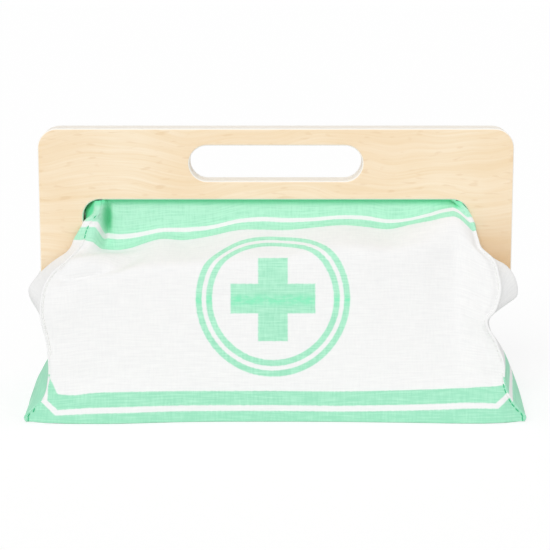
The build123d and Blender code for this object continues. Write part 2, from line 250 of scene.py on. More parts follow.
def hermite(t, run, start, leave, end, arrive):
    """Between two places, t from 0 to 1, on a smooth curve that leaves and arrives as given."""
    return (
        (1 + 2 * t) * (1 - t) ** 2 * start + t * (1 - t) ** 2 * run * leave
        + t * t * (3 - 2 * t) * end + t * t * (t - 1) * run * arrive
    )


def smooth_through(stations, at):
    """Values at the given keys, on a smooth curve through rows of (key, value, ...)."""
    table = np.array(stations, float)
    keys, values = table[:, 0], table[:, 1:]
    slopes = np.gradient(values, keys, axis=0)
    at = np.clip(np.asarray(at, float), keys[0], keys[-1])
    i = np.clip(np.searchsorted(keys, at, side="right") - 1, 0, len(keys) - 2)
    run = (keys[i + 1] - keys[i])[..., None]
    t = (at - keys[i])[..., None] / run
    return hermite(t, run, values[i], slopes[i], values[i + 1], slopes[i + 1])


def sampled(at, keys, places):
    """Places at the given keys, on straight lines through rows of places."""
    return np.stack([np.interp(at, keys, column) for column in np.transpose(places)], axis=-1)


def softened(path, step, reach, width):
    """A path of evenly spaced places with its corners rounded off."""
    weights = bell(np.arange(-reach, reach + 1) * step / width)
    weights /= weights.sum()
    return np.stack([np.convolve(column, weights, mode="same") for column in path.T], axis=-1)


def unit(vectors):
    """The same directions, one mm long."""
    return vectors / np.maximum(np.linalg.norm(vectors, axis=-1, keepdims=True), 1e-9)


def placed(body, points):
    """Places or directions as they are for the front, or mirrored for the rear."""
    return points if body == "front" else points * np.array([1, -1, 1])


def folded(u, s):
    """Height of the soft folds above the plain wall, at cloth places."""
    height = np.zeros_like(u)
    for line in FOLDS:
        line = np.array(line, float)
        nearest = np.full_like(u, 1e9)
        best = np.zeros_like(u)
        for a, b in zip(line, line[1:]):
            run = b[:2] - a[:2]
            t = np.clip(((u - a[0]) * run[0] + (s - a[1]) * run[1]) / run.dot(run), 0, 1)
            far = np.hypot(u - a[0] - t * run[0], s - a[1] - t * run[1])
            reach, rise = (a[k] + t * (b[k] - a[k]) for k in (2, 3))
            best = np.where(far < nearest, rise * bell(far / reach), best)
            nearest = np.minimum(nearest, far)
        height += best
    return height


def printed_at(u, s):
    """The print's own height at cloth places: the three slips follow one another up the cloth."""
    low, middle, high = np.moveaxis(smooth_through(PRINT_SLIP, u), -1, 0)
    upper = middle + (high - middle) * ease(s, 123, 130)
    return s + low * ease(s, 54, 14) + upper * ease(s, 104, 118)


def printed_on_side(part, w, s):
    """The print's own height on a side wall or its seam's roll, w mm away from the seam."""
    start, rise, level, stripe, band = SIDE_PRINT[part]
    above = s - np.minimum(start + rise * w, level + LEVEL_RISE * w)
    low = np.interp(
        above, [-PRINT_MARGIN, 0, stripe, stripe + band, stripe + band + PRINT_MARGIN],
        [STRIPE[0] - PRINT_MARGIN, *STRIPE, FIELD_EDGE, FIELD_INSIDE])
    high = printed_at(SEAM_U * SIGN[part.split("_")[0]], s)
    share = ease(s, 40, 70)
    return low * (1 - share) + high * share


def rolled(points):
    """Moves cloth straight forward or back at the rolls by the upper left corner."""
    x, y, z = np.moveaxis(points, -1, 0)
    push = np.zeros_like(x)
    for at_x, at_z, wide, tall, distance in CORNER_ROLLS:
        push += distance * bell(np.hypot((x - at_x) / wide, (z - at_z) / tall))
    moved = points.copy()
    # the cloth behind the ledge and above the bar's underside stays
    moved[..., 1] -= push * ease(y, -2, -7) * ease(z, 122, 119.5)
    return moved


def wall_column(x, s_wanted=None, share=None):
    """Places on the wall's middle part at one X, for values of s or shares of the column's length."""
    shoulder, lean, slope, ledge, behind = smooth_through(COLUMNS, x)
    lean, slope = math.radians(float(lean)), math.radians(float(slope))
    up = np.array([math.sin(lean), math.cos(lean)])
    foot, back = np.array(FOOT), np.array([float(behind), float(ledge)])
    front = back - (STRIPE_TOP - LEDGE_START) * np.array([math.cos(slope), math.sin(slope)])
    bar, top = np.array(BAR_IN), np.array(CLAMP_TOP)
    bar_s = STRIPE_TOP + np.linalg.norm(bar - back)
    top_s = bar_s + CLAMP_REACH
    keys = [-RUN_OUT, 0, shoulder, LEDGE_START, STRIPE_TOP, bar_s, top_s, top_s + RUN_OUT]
    spots = [
        foot - up * RUN_OUT, foot, foot + up * shoulder, front, back, bar, top,
        top + np.array([0, RUN_OUT]),
    ]
    fine = np.arange(-RUN_OUT, top_s + RUN_OUT, 1.0)
    path = softened(sampled(fine, keys, spots), step=1.0, reach=15, width=4.0)
    if s_wanted is None:
        s_wanted = np.asarray(share) * top_s
    y, z = sampled(s_wanted, fine, path).T
    # the cloth is gathered in between the ledge and the clamp
    return s_wanted, np.stack([x * (1 - PINCH * ease(s_wanted, 136, 150)), y, z], axis=-1)


def arc_across(points):
    """Distance along each row of a grid, from its first column."""
    steps = np.linalg.norm(np.diff(points, axis=0), axis=-1)
    return np.concatenate([np.zeros((1, points.shape[1])), np.cumsum(steps, axis=0)])


def grid_normals(points):
    """Outward normals of a grid whose first index runs across and second runs up."""
    return unit(np.cross(np.gradient(points, axis=0), np.gradient(points, axis=1)))


def wall_edge(side, s_inner, share, columns):
    """The wall from its middle part out to one seam: places and s, column by column."""
    seam, inner_x = LINES[side][0], MIDDLE[0 if side == "left" else 1]
    t = np.linspace(0, 1, columns + 1)[1:, None]
    s = s_inner * (1 - t) + share * seam[-1][0] * t
    inner = np.stack([wall_column(inner_x, s_wanted=row)[1] for row in s])
    outer = smooth_through(seam, s)
    chord = np.linalg.norm(outer - inner, axis=-1, keepdims=True)
    # it arrives at the seam turned back by 6 degrees, and by up to 40 at the shoulder
    turn = np.radians(6 + 34 * ease(s, 40, 100) * ease(s, 148, 128))
    arrive = np.stack([SIGN[side] * np.cos(turn), np.sin(turn), np.zeros_like(turn)], axis=-1)
    t = t[..., None]
    edge = hermite(t, chord, inner, np.array([SIGN[side], 0, 0]), outer, arrive)
    if side == "left":
        # the upper left corner keeps its height for longer, then drops into the fold
        quick = inner + (outer - inner) * ease(t, 0.24, 0.64)
        edge[..., 2] += (quick - edge)[..., 2] * ease(s, 116, 126) * ease(s, 146, 141)
    return edge, s


def wall_grid(columns=102, edge_columns=22, rows=104):
    """The front wall as a grid of places and cloth places, columns from left to right."""
    share = np.linspace(0, 1, rows)
    middle_x = np.linspace(*MIDDLE, columns)
    s, points = (np.stack(part) for part in zip(*(wall_column(x, share=share) for x in middle_x)))
    left, left_s = wall_edge("left", s[0], share, edge_columns)
    right, right_s = wall_edge("right", s[-1], share, edge_columns)
    points = np.concatenate([left[::-1], points, right])
    s = np.concatenate([left_s[::-1], s, right_s])
    across = arc_across(points)
    u = across - across[edge_columns + int(np.argmin(np.abs(middle_x)))]
    # the folds fade out at the foot, at the bar and in the last five columns by the seams
    column = np.arange(len(u))[:, None]
    push = folded(u, s) * ease(s, 0, 12) * ease(s, 150, 142)
    push *= ease(np.minimum(column, len(u) - 1 - column), 0, 5)
    inside = np.minimum(u - u[0], u[-1] - u)
    push -= SEAM_DIP * bell((inside - DIP_INSIDE) / DIP_REACH)
    x = points[..., 0]
    for at_x, distance, reach in FOOT_WAVES:
        points[..., 1] -= distance * bell((x - at_x) / reach) * ease(s, 30, 0) * ease(np.abs(x), 139, 130)
    return rolled(points + grid_normals(points) * push[..., None]), u, s


def side_grid(seam, ridge, turn, columns=44, rows=92):
    """Half of a side wall, from its seam round to the crease, with distances from the seam and s."""
    s = np.linspace(0, SEAM_TOP, rows)
    half_width, height = smooth_through(CREASE, s).T
    crease = np.stack([np.sign(seam[0][1]) * half_width, np.zeros(rows), height], axis=-1)
    lines = np.stack([*(smooth_through(line, s) for line in (seam, ridge, turn)), crease])
    keys = arc_across(lines)
    softness = smooth_through(SIDE_SOFTNESS, s)[:, 0]
    points = np.zeros((columns, rows, 3))
    for j in range(rows):
        spots, total = lines[:, j], keys[-1, j]
        before, after = unit(spots[0] - spots[1]), unit(spots[-1] - spots[-2])
        keys_out = [-RUN_OUT, *keys[:, j], total + RUN_OUT]
        spots_out = [spots[0] + before * RUN_OUT, *spots, spots[-1] + after * RUN_OUT]
        fine = np.arange(-RUN_OUT, total + RUN_OUT, 0.5)
        path = softened(sampled(fine, keys_out, spots_out), step=0.5, reach=40, width=softness[j] / 2)
        points[:, j] = sampled(np.linspace(0, total, columns), fine, path)
        points[0, j], points[-1, j] = spots[0], spots[-1]
    w = arc_across(points)
    return rolled(points), w, np.broadcast_to(s, w.shape)


def side_half(body, side):
    """One half of one side wall, of the front or the rear."""
    points, w, s = side_grid(*LINES[side])
    if body == "rear":
        low_down = ease(s, 14, 28) * ease(s, 54, 40) * ease(w, 0, 10) * ease(w, 38, 26)
        points[..., 0] *= 1 - REAR_TUCK * low_down
    return placed(body, points), w, s


def base_grid(rows=57):
    """The bottom cloth: flat under the board, with its sides lifted to meet the side walls and
    its front and rear edges following the waves of the walls' feet."""
    inside = [*range(0, 130, 10), 134, BASE_TURN]
    y = np.linspace(-BASE_EDGE, BASE_EDGE, rows)
    level = np.full_like(y, BASE_Z)
    halves = []
    for side, sign in SIGN.items():
        front, rear = (side_half(body, side)[0][:, 0] for body in ("front", "rear"))
        edge = np.concatenate([front, rear[-2::-1]])
        edge_x, edge_z = sampled(y, edge[:, 1], edge[:, ::2]).T
        columns = [np.stack([np.full_like(y, sign * x), y, level], axis=-1) for x in inside]
        for t in np.linspace(0, 1, 7)[1:]:
            x = sign * BASE_TURN + t * (edge_x - sign * BASE_TURN)
            lift = (np.maximum(edge_z, BASE_Z) - BASE_Z) * t ** 1.4
            columns.append(np.stack([x, y, level + lift], axis=-1))
        halves.append(columns)
    points = np.stack(halves[0][:0:-1] + halves[1])
    foot = wall_grid()[0][:, 0]
    foot = foot[np.argsort(foot[:, 0])]
    wave = np.interp(points[..., 0], foot[:, 0], -foot[:, 1]) - EDGE_INSET - BASE_EDGE
    share = ease(np.abs(points[..., 1]), WAVE_INSIDE, BASE_EDGE)
    points[..., 1] += np.sign(points[..., 1]) * np.maximum(wave, 0) * share
    return points


def base_seams(points):
    """The four lines of turned seam allowance inside the bottom: side, places, across, up."""
    x = np.linspace(-BASE_SEAM_X, BASE_SEAM_X, 35)
    ones = np.ones_like(x)
    rows = []
    for side, y in (("front", -BASE_SEAM_Y), ("rear", BASE_SEAM_Y)):
        line = np.stack([x, y * ones, (BASE_Z + BASE_SEAM_LIFT) * ones], axis=-1)
        across, up = (np.tile(way, (len(x), 1)) for way in ((0.0, 1.0, 0.0), (0.0, 0.0, 1.0)))
        rows.append((side, line, across, up))
    # on the lifted sides it lies midway between two columns of the grid, clear of the ends
    middle = slice(5, -5)
    for side, inner, outer in (("left", points[4], points[2]), ("right", points[-5], points[-3])):
        across = unit(outer - inner)
        up = unit(np.cross(across, (0.0, 1.0, 0.0)))
        up *= np.sign(up[:, 2:])
        line = (inner + outer) / 2 + up * BASE_SEAM_LIFT
        rows.append((side, line[middle], across[middle], up[middle]))
    return rows


def seam_roll(side):
    """The roll of a side seam: its line, the ways across and up, its sections, its cloth places."""
    s = np.arange(0, ROLL_TOP + 0.1, 1.0)
    line = rolled(smooth_through(LINES[side][0], s))
    line[:, 2] = np.maximum(line[:, 2], ROLL_FLOOR)
    way = np.gradient(line, axis=0)
    across = unit(np.cross(way, (0, -1, 0.2)))
    sections = oval(1, 1) * smooth_through(SEAM_ROLLS[side], s)[:, None]
    plan = np.stack([np.full_like(s, SIDE_U * SIGN[side]), printed_on_side(f"{side}_roll", 0, s)], axis=-1)
    return line, across, unit(np.cross(across, way)), sections, plan


def seam_stitches(side, thickness):
    """The stitches of a side seam: their places, the ways along and out, their cloth places."""
    wall, _, wall_s = wall_grid()
    edge, inner, strip = (0, 1, wall[:3]) if side == "left" else (-1, -2, wall[-3:])
    # they run about 1.5 mm inside the wall's edge
    rim = wall[edge] * 0.25 + wall[inner] * 0.75
    at = np.arange(STITCH_START, ROLL_TOP, STITCH_STEP)
    at = np.concatenate([at[(at >= low) & (at < high)] for low, high in STITCHED[side]])
    spots, out = (sampled(at, wall_s[edge], line) for line in (rim, grid_normals(strip)[1]))
    u = STITCH_U * SIGN[side]
    plan = np.stack([np.full_like(at, u), printed_at(u, at)], axis=-1)
    return spots + out * thickness / 2, np.gradient(spots, axis=0), out, plan


# ------------------------------------------------------------------ making meshes
def deselect_all():
    for obj in bpy.context.selected_objects:
        obj.select_set(False)


def only(obj):
    """Makes obj the one selected and active object."""
    deselect_all()
    obj.select_set(True)
    bpy.context.view_layer.objects.active = obj


def mesh_object(name, points, faces, plan, *finishes):
    """A mesh from places in mm, with its cloth places as a UV map."""
    mesh = bpy.data.meshes.new(name)
    mesh.from_pydata((points.reshape(-1, 3) * MM).tolist(), [], faces)
    layer = mesh.uv_layers.new(name="cloth_place")
    corners = np.zeros(len(mesh.loops), np.int32)
    mesh.loops.foreach_get("vertex_index", corners)
    layer.data.foreach_set("uv", plan.reshape(-1, 2)[corners].astype(np.float32).ravel())
    obj = bpy.data.objects.new(name, mesh)
    bpy.context.scene.collection.objects.link(obj)
    for finish in finishes:
        mesh.materials.append(material_for(finish))
    only(obj)
    return obj


def cloth_object(name, points, plan, flip=False):
    """A sheet of cloth from a grid of places in mm, with the places of its print."""
    columns, rows = plan[0].shape
    index = np.arange(columns * rows).reshape(columns, rows)
    quads = np.stack([index[:-1, :-1], index[1:, :-1], index[1:, 1:], index[:-1, 1:]], axis=-1).reshape(-1, 4)
    if flip:
        quads = quads[:, ::-1]
    plan = np.stack(plan, axis=-1)
    obj = mesh_object(name, points, quads.tolist(), plan, "printed_cotton", "printed_cotton_reverse")
    bpy.ops.object.modifier_add(type="SOLIDIFY")
    wall = obj.modifiers[-1]
    wall.thickness = bpy.context.scene.case_sizes.cloth_thickness
    wall.offset = 0.0
    wall.material_offset = 1
    wall.material_offset_rim = 0
    bpy.ops.object.modifier_apply(modifier=wall.name)
    bpy.ops.object.shade_smooth_by_angle(angle=math.radians(50))
    return obj


def oval(wide, high, sides=10):
    """Corners of an oval section, in turn."""
    turn = np.linspace(0, 2 * math.pi, sides, endpoint=False)
    return np.stack([wide / 2 * np.cos(turn), high / 2 * np.sin(turn)], axis=-1)


def strip_section(wide, high, sides=6):
    """Corners of a flat section with round ends, as a strip folded over on itself."""
    turn = np.linspace(-math.pi / 2, math.pi / 2, sides)
    end = np.stack([wide / 2 - high / 2 + high / 2 * np.cos(turn), high / 2 * np.sin(turn)], axis=-1)
    return np.concatenate([end, -end])


def swept(name, centre, across, up, sections, plan, finish):
    """A closed roll or strip: a section carried along a line of places in mm. The section lies
    across and up at each place, and plan is the cloth place of the line."""
    sections = np.broadcast_to(sections, (len(centre), *np.shape(sections)[-2:]))
    points = centre[:, None] + sections[..., :1] * across[:, None] + sections[..., 1:] * up[:, None]
    places = np.repeat(plan[:, None].astype(float), sections.shape[1], axis=1)
    places[..., 0] += sections[..., 0]
    index = np.arange(points.shape[0] * points.shape[1]).reshape(points.shape[:2])
    after = np.roll(index, -1, axis=1)
    quads = np.stack([index[:-1], after[:-1], after[1:], index[1:]], axis=-1).reshape(-1, 4)
    faces = quads.tolist() + [index[0, ::-1].tolist(), index[-1].tolist()]
    obj = mesh_object(name, points, faces, places, finish)
    face_outwards()
    bpy.ops.object.shade_smooth_by_angle(angle=math.radians(50))
    return obj


def face_outwards():
    """Turns the active object's faces outwards."""
    bpy.ops.object.mode_set(mode="EDIT")
    bpy.ops.mesh.select_all(action="SELECT")
    bpy.ops.mesh.normals_make_consistent(inside=False)
    bpy.ops.object.mode_set(mode="OBJECT")


def stitch_row(name, spots, along, up, plan, finish):
    """A row of stitches: a short thread with tapered ends at each spot, half sunk in the cloth."""
    along, up = unit(along), unit(up)
    side = unit(np.cross(along, up))
    lengths = np.array([-1.0, -0.55, 0.55, 1.0]) * STITCH_LENGTH / 2
    girth = np.array([0.35, 1.0, 1.0, 0.35]) * STITCH_WIDTH / 2
    turn = np.linspace(0, 2 * math.pi, 6, endpoint=False)
    ring = np.cos(turn)[:, None, None] * side + np.sin(turn)[:, None, None] * up * 0.8
    points = (
        spots + along * lengths[:, None, None, None] + ring * girth[:, None, None, None]
        + up * STITCH_WIDTH * 0.15
    )
    points = points.transpose(2, 0, 1, 3)
    index = np.arange(points.size // 3).reshape(points.shape[:3])
    after = np.roll(index, -1, axis=2)
    sides = np.stack([index[:, :-1], after[:, :-1], after[:, 1:], index[:, 1:]], axis=-1).reshape(-1, 4)
    ends = np.concatenate([index[:, 0, ::-1], index[:, -1]])
    places = np.broadcast_to(plan[:, None, None], (*points.shape[:3], 2))
    obj = mesh_object(name, points, sides.tolist() + ends.tolist(), places, finish)
    face_outwards()
    bpy.ops.object.shade_smooth()
    return obj


# ------------------------------------------------------------------ materials
def linear(hex_colour):
    """The scene-linear colour of an sRGB hex value."""
    parts = [int(hex_colour[i:i + 2], 16) / 255 for i in (1, 3, 5)]
    return [c / 12.92 if c <= 0.04045 else ((c + 0.055) / 1.055) ** 2.4 for c in parts] + [1.0]


def add_node(tree, kind, inputs=None, **settings):
    """Adds a shader node, sets its settings, and sets or links its inputs."""
    node = tree.nodes.new("ShaderNode" + kind)
    for name, value in settings.items():
        setattr(node, name, value)
    for key, value in (inputs or {}).items():
        if isinstance(value, bpy.types.Node):
            value = value.outputs[0]
        if isinstance(value, bpy.types.NodeSocket):
            tree.links.new(value, node.inputs[key])
        else:
            node.inputs[key].default_value = value
    return node


def new_material(name, **shader):
    """A material with one Principled shader; its constants are set on the shader's own sockets."""
    material = bpy.data.materials.new(name)
    material.use_nodes = True
    tree = material.node_tree
    tree.nodes.clear()
    surface = add_node(tree, "BsdfPrincipled")
    for key, value in shader.items():
        surface.inputs[key.replace("_", " ")].default_value = value
    add_node(tree, "OutputMaterial", {"Surface": surface})
    return material, tree, surface


def finished(material, tree, surface, colour, height, strength, distance):
    """Gives a material its colour and a fine relief."""
    tree.links.new(colour.outputs[2], surface.inputs["Base Color"])
    bump = add_node(tree, "Bump", {"Height": height, "Strength": strength, "Distance": distance})
    tree.links.new(bump.outputs[0], surface.inputs["Normal"])
    return material


def streaks(tree, place, stretch, scale, detail, **more):
    """Noise drawn out along the case, as grain and yarn are."""
    drawn = add_node(tree, "Mapping", {"Vector": place, "Scale": stretch})
    noise = add_node(tree, "TexNoise", {"Vector": drawn, "Scale": scale, "Detail": detail, **more})
    return noise.outputs["Fac"]


def off_from(tree, value, middle):
    """How far a value is from a middle, to either side."""
    off = add_node(tree, "Math", {0: value, 1: middle}, operation="SUBTRACT")
    return add_node(tree, "Math", {0: off}, operation="ABSOLUTE")


def patch_at(tree, spot, middle, stretch, start, full, most):
    """A soft-edged patch round a middle: 0 outside it, and the most in its centre."""
    off = add_node(tree, "VectorMath", {0: spot, 1: middle}, operation="SUBTRACT")
    off = add_node(tree, "VectorMath", {0: off, 1: stretch}, operation="MULTIPLY")
    far = add_node(tree, "VectorMath", {0: off}, operation="LENGTH").outputs["Value"]
    return add_node(tree, "MapRange", {
        "Value": far, "From Min": start, "From Max": full, "To Max": most,
    }, interpolation_type="SMOOTHSTEP")


def border_of_print(tree, u, s):
    """Distance from the print's edge, whose lower corners are cut at 45 degrees."""
    cut = add_node(tree, "Math", {0: s, 1: off_from(tree, u, BORDER_MIDDLE)}, operation="SUBTRACT")
    cut = add_node(tree, "Math", {0: cut, 1: BORDER_CUT}, operation="ADD")
    cut = add_node(tree, "Math", {0: cut, 1: 1 / math.sqrt(2)}, operation="MULTIPLY")
    border = add_node(tree, "Math", {0: s, 1: cut}, operation="MINIMUM")
    # by the left seam the border's stripe runs on upwards
    beside = add_node(tree, "Math", {0: u, 1: STRIPE[1] - LEFT_STRIPE_U}, operation="ADD")
    beside = add_node(tree, "Math", {0: beside, 1: LEFT_LEAST}, operation="MAXIMUM")
    return add_node(tree, "Math", {0: border, 1: beside}, operation="MINIMUM")


def field_of_print(tree, u, s):
    """Distance that bounds the white field: its lower edge rises at its ends, and its corners are
    cut more steeply than the border's."""
    bent = add_node(tree, "Math", {0: off_from(tree, u, FIELD_MIDDLE), 1: FIELD_LEVEL}, operation="SUBTRACT")
    bent = add_node(tree, "Math", {0: bent, 1: 0.0}, operation="MAXIMUM")
    bent = add_node(tree, "Math", {0: bent, 1: -FIELD_RISE, 2: s}, operation="MULTIPLY_ADD")
    cut = add_node(tree, "Math", {
        0: off_from(tree, u, CORNER_MIDDLE), 1: -CORNER_ACROSS, 2: CORNER_REACH}, operation="MULTIPLY_ADD")
    cut = add_node(tree, "Math", {0: s, 1: CORNER_UP, 2: cut}, operation="MULTIPLY_ADD")
    return add_node(tree, "Math", {0: bent, 1: cut}, operation="MINIMUM")


def emblem_of_print(tree, u, s):
    """Distance from the emblem's middle, and how far a place lies outside its plain cross."""
    across, above = off_from(tree, u, EMBLEM_U), off_from(tree, s, EMBLEM_S)
    spot = add_node(tree, "CombineXYZ", {0: across, 1: above})
    radius = add_node(tree, "VectorMath", {0: spot}, operation="LENGTH").outputs["Value"]
    bars = []
    for a, b in ((across, above), (above, across)):
        narrow = add_node(tree, "Math", {0: a, 1: CROSS_HALF_WIDTH}, operation="SUBTRACT")
        long = add_node(tree, "Math", {0: b, 1: CROSS_REACH}, operation="SUBTRACT")
        bars.append(add_node(tree, "Math", {0: narrow, 1: long}, operation="MAXIMUM"))
    return radius, add_node(tree, "Math", {0: bars[0], 1: bars[1]}, operation="MINIMUM")


def inked(tree, measure, starts, *edges):
    """1 where a measure has ink: whether ink starts on, then where it starts or stops in turn."""
    ink, sign = starts, -1.0 if starts else 1.0
    for edge in edges:
        step = add_node(tree, "MapRange", {
            "Value": measure, "From Min": edge - SOFT_EDGE, "From Max": edge + SOFT_EDGE, "To Max": sign,
        })
        ink = add_node(tree, "Math", {0: ink, 1: step}, operation="ADD")
        sign = -sign
    return ink


def ink_of_print(tree, u, s):
    """1 where the cloth is printed, 0 where it is white."""
    border = border_of_print(tree, u, s)
    radius, cross = emblem_of_print(tree, u, s)
    ink = add_node(tree, "Math", {
        0: inked(tree, border, 0.0, STRIPE[1]), 1: inked(tree, field_of_print(tree, u, s), 1.0, FIELD_EDGE),
    }, operation="MINIMUM")
    for measure, starts, edges in (
        (border, 1.0, STRIPE[:1]), (s, 0.0, HEAD_BAND), (radius, 0.0, RINGS), (cross, 1.0, (0.0,)),
    ):
        ink = add_node(tree, "Math", {0: ink, 1: inked(tree, measure, starts, *edges)}, operation="MAXIMUM")
    return ink


def pressed_crease(tree, place, s):
    """The crease across the emblem: a deeper green along it, patchy along its length."""
    line = add_node(tree, "MapRange", {
        "Value": off_from(tree, s, PRESSED_S), "From Min": 5.2, "From Max": 0.2,
    }, interpolation_type="SMOOTHSTEP")
    patchy = add_node(tree, "MapRange", {
        "Value": streaks(tree, place, (0.25, 0.5, 1.0), 1.0, 3.0),
        "From Min": 0.35, "From Max": 0.62, "To Min": 0.25, "To Max": 0.9,
    })
    return add_node(tree, "Math", {0: line, 1: patchy}, operation="MULTIPLY")


def painted_deep_shade(tree, spot):
    """Where painted shade and shadow go: deep in the upper corners, and in a line just under the
    bar, where light comes by way of printed cloth.
    """
    away = add_node(tree, "VectorMath", {0: spot}, operation="ABSOLUTE")
    away = add_node(tree, "SeparateXYZ", {0: away})
    # painted shade where the cloth is far out, near the middle plane and high up; painted shadow just under
    # the bar
    corner, inside, height, bar = [
        add_node(tree, "MapRange", {"Value": away.outputs[axis], "From Min": low * MM, "From Max": high * MM})
        for axis, low, high in (
            ("X", 103.5, 107.0), ("Y", 11.0, 8.5), ("Z", 98.0, 104.0), ("Z", 118.5, 122.2))
    ]
    for other in (inside, height):
        corner = add_node(tree, "Math", {0: corner, 1: other}, operation="MULTIPLY")
    return add_node(tree, "Math", {0: corner, 1: bar}, operation="MAXIMUM")


def printed_cotton(name, green, white, shown):
    """Plain-weave cotton with uneven slub yarn, screen printed in one colour: matt, the print
    soaked in with soft edges, the yarn showing as fine dashes across the case. Painted light makes
    the green paler higher up, and painted shade deepens it in the upper corners, the upper left fold
    and under the bar."""
    material, tree, surface = new_material(
        name, Roughness=0.88, IOR=1.5, Specular_IOR_Level=0.25, Sheen_Weight=0.12, Sheen_Roughness=0.5
    )
    place = add_node(tree, "UVMap", uv_map="cloth_place")
    split = add_node(tree, "SeparateXYZ", {0: place})
    # print edges wander by up to 0.35 mm where the ink crosses the yarns
    wander = add_node(tree, "TexNoise", {"Vector": place, "Scale": 0.45, "Detail": 3.0})
    shift = add_node(tree, "Math", {0: wander.outputs["Fac"], 1: 0.5}, operation="SUBTRACT")
    shift = add_node(tree, "Math", {0: shift, 1: 2 * SOFT_EDGE}, operation="MULTIPLY")
    u, s = (add_node(tree, "Math", {0: split.outputs[axis], 1: shift}, operation="ADD") for axis in "XY")
    # yarn: real threads are 0.45 mm apart, drawn here as dashes 1 mm apart so that they show
    warp = add_node(tree, "MapRange", {
        "Value": streaks(tree, place, (0.9, 0.12, 1.0), 1.0, 1.0), "To Min": 0.25, "To Max": 0.75,
    })
    weft = streaks(tree, place, (0.07, 1.0, 1.0), 1.1, 2.0)
    yarn = add_node(tree, "Math", {0: weft, 1: warp}, operation="ADD")
    tone = add_node(tree, "MapRange", {"Value": yarn, "From Min": 0.7, "From Max": 1.3})
    # the ink lies thicker on the finer yarns; as painted light, the green is darker near the foot
    # and paler higher up the cloth
    yarn_ink_and_painted_light = add_node(tree, "MapRange", {
        "Value": yarn, "From Min": 0.8, "From Max": 1.2, "To Min": -0.26, "To Max": 0.6,
    }, clamp=False)
    # painted light: the green pales by 0.0045 of the mix for each mm of s up the cloth
    yarn_ink_and_painted_light = add_node(tree, "Math", {0: s, 1: 0.0045, 2: yarn_ink_and_painted_light}, operation="MULTIPLY_ADD", use_clamp=True)
    printed, plain = (
        add_node(tree, "Mix", {0: share, 6: linear(pair[0]), 7: linear(pair[1])}, data_type="RGBA")
        for share, pair in ((yarn_ink_and_painted_light, green), (tone, white))
    )
    spot = add_node(tree, "TexCoord").outputs["Object"]
    # painted shade: the steep fold by the upper left corner gets the darkest green
    painted_fold_shade = patch_at(tree, spot, (-99.8 * MM, 0.0, 112.0 * MM), (270.0, 0.0, 75.0), 1.0, 0.25, 0.85)
    # over the green: a deeper green along the emblem's crease, painted shade deep in the corners and under
    # the bar, and painted shade in the upper left fold
    for share, tint in (
        (pressed_crease(tree, place, s), "#86EABB"), (painted_deep_shade(tree, spot), "#6FE9AE"),
        (painted_fold_shade, "#55CC91"),
    ):
        printed = add_node(tree, "Mix", {0: share, 6: printed.outputs[2], 7: linear(tint)}, data_type="RGBA")
    ink = ink_of_print(tree, u, s)
    ink = add_node(tree, "Math", {0: ink, 1: shown}, operation="MULTIPLY", use_clamp=True)
    colour = add_node(tree, "Mix", {0: ink, 6: plain.outputs[2], 7: printed.outputs[2]}, data_type="RGBA")
    return finished(material, tree, surface, colour, yarn, 0.35, 0.2 * MM)


def plywood_face(tree, spot):
    """The face veneer: long wavy figure, small flecks, and a darker patch on the right leg,
    partly its own tone and partly painted shade.
    """
    # growth rings cut at a shallow angle: bands about 6 mm high that wander over 100 mm
    bend = add_node(tree, "TexNoise", {"Vector": spot, "Scale": 9.0, "Detail": 2.0})
    drift = add_node(tree, "VectorMath", {
        0: bend.outputs["Color"], 1: (0.0, 0.0, 0.05)}, operation="MULTIPLY")
    bent = add_node(tree, "VectorMath", {0: spot, 1: drift}, operation="ADD")
    figure = streaks(tree, bent, (0.08, 1.0, 1.0), 150.0, 3.0, Roughness=0.55)
    fibre = streaks(tree, bent, (0.03, 1.0, 1.0), 900.0, 2.0)
    tone = add_node(tree, "Math", {0: figure, 1: fibre}, operation="ADD")
    tone = add_node(tree, "MapRange", {"Value": tone, "From Min": 0.7, "From Max": 1.3})
    clouds = add_node(tree, "TexNoise", {"Vector": spot, "Scale": 14.0, "Detail": 2.0})
    warm = add_node(tree, "MapRange", {
        "Value": clouds.outputs["Fac"], "From Min": 0.42, "From Max": 0.7, "To Max": 0.45,
    })
    # the veneer is darker round one spot on the right leg: partly its own tone, partly painted shade
    leg_tone_and_painted_shade = patch_at(tree, bent, (132 * MM, 0.0, 90 * MM), (1.0, 0.0, 0.8), 55 * MM, 10 * MM, 0.9)
    fleck = add_node(tree, "MapRange", {
        "Value": streaks(tree, spot, (0.25, 1.0, 1.0), 500.0, 0.0), "From Min": 0.68, "From Max": 0.78,
        "To Max": 0.25,
    })
    face = add_node(tree, "Mix", {0: tone, 6: linear("#F3DCB8"), 7: linear("#FAE9CE")}, data_type="RGBA")
    for share, tint in ((warm, "#EFD0A6"), (leg_tone_and_painted_shade, "#D9B384"), (fleck, "#DDB98A")):
        face = add_node(tree, "Mix", {0: share, 6: face.outputs[2], 7: linear(tint)}, data_type="RGBA")
    return face, fibre


